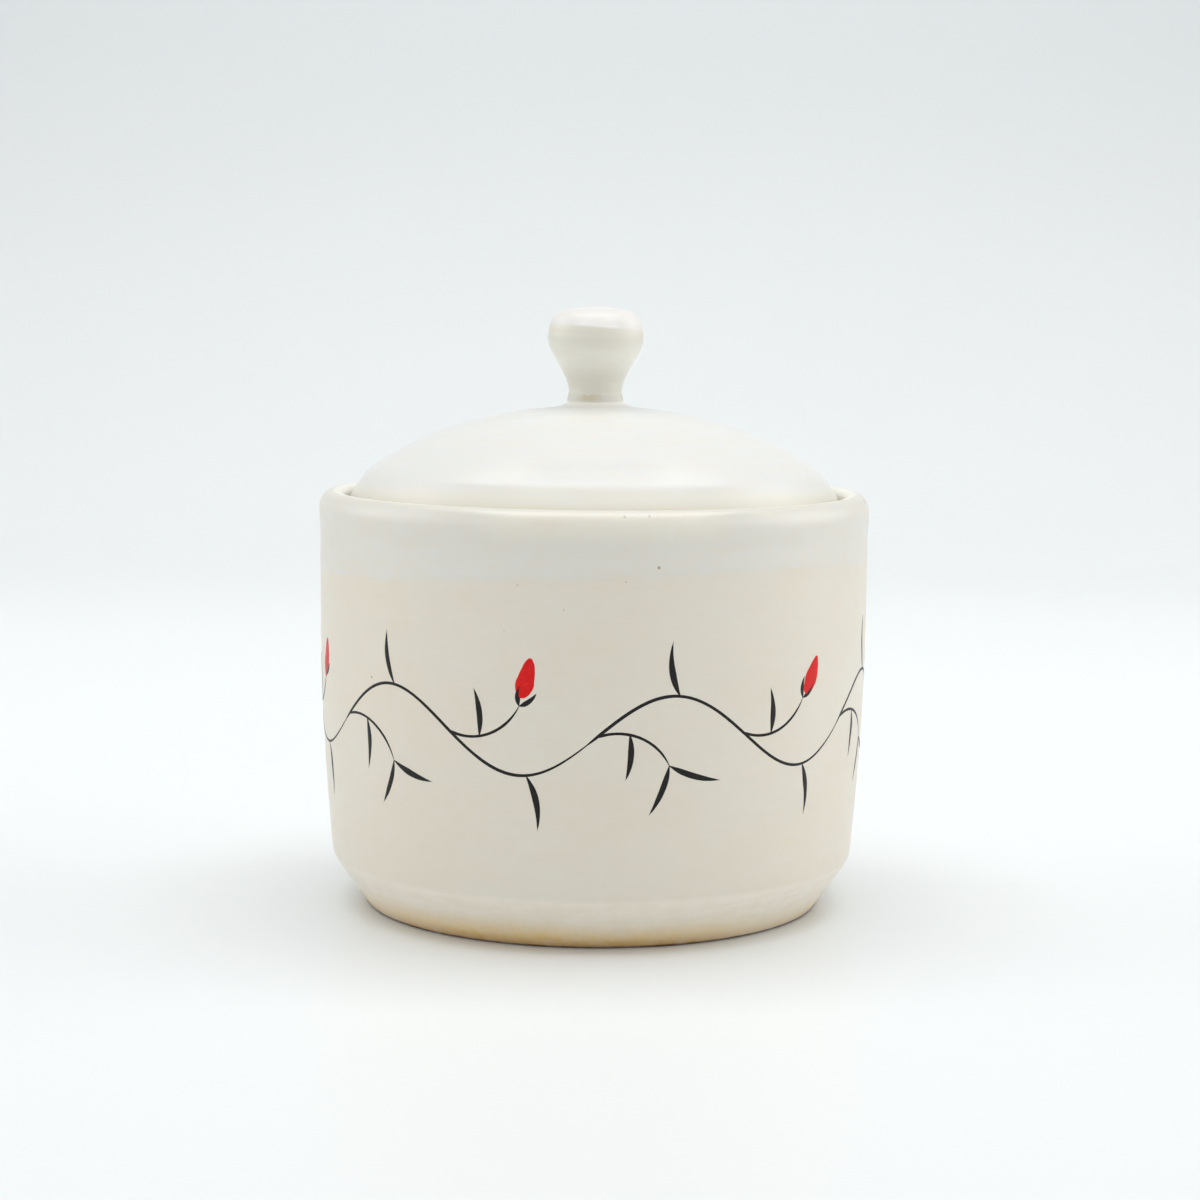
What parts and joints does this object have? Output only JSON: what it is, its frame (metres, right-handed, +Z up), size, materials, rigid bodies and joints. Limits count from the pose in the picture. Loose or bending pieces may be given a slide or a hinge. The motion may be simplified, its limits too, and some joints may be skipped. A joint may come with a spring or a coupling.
{
  "type": "lidded pottery jar",
  "caption": "Small round pottery jar with upright wall, bevelled foot and rounded lip, and a domed lid with a turned knob that drops into a gallery inside the lip and lifts off.",
  "frame": {"origin": "centre of the standing ring, on the surface the jar stands on", "axes": "+Z up along the jar's axis; the decorated front faces -Y"},
  "size_m": [0.0954, 0.0954, 0.1036],
  "materials": {
    "jar_glaze": "satin",
    "lid_glaze": "satin",
    "knob_glaze": "satin",
    "bare_slip": "matte",
    "black_underglaze": "satin",
    "red_underglaze": "satin"
  },
  "bodies": {
    "jar": {"jar_body": "jar_glaze"},
    "lid": {"lid": "lid_glaze", "knob_luting_slip": "bare_slip", "knob": "knob_glaze"}
  },
  "joints": [
    {"name": "lid_lift", "type": "slide", "parent": "jar", "child": "lid", "axis": [0, 0, 1], "range_m": [0, 0.1]}
  ]
}
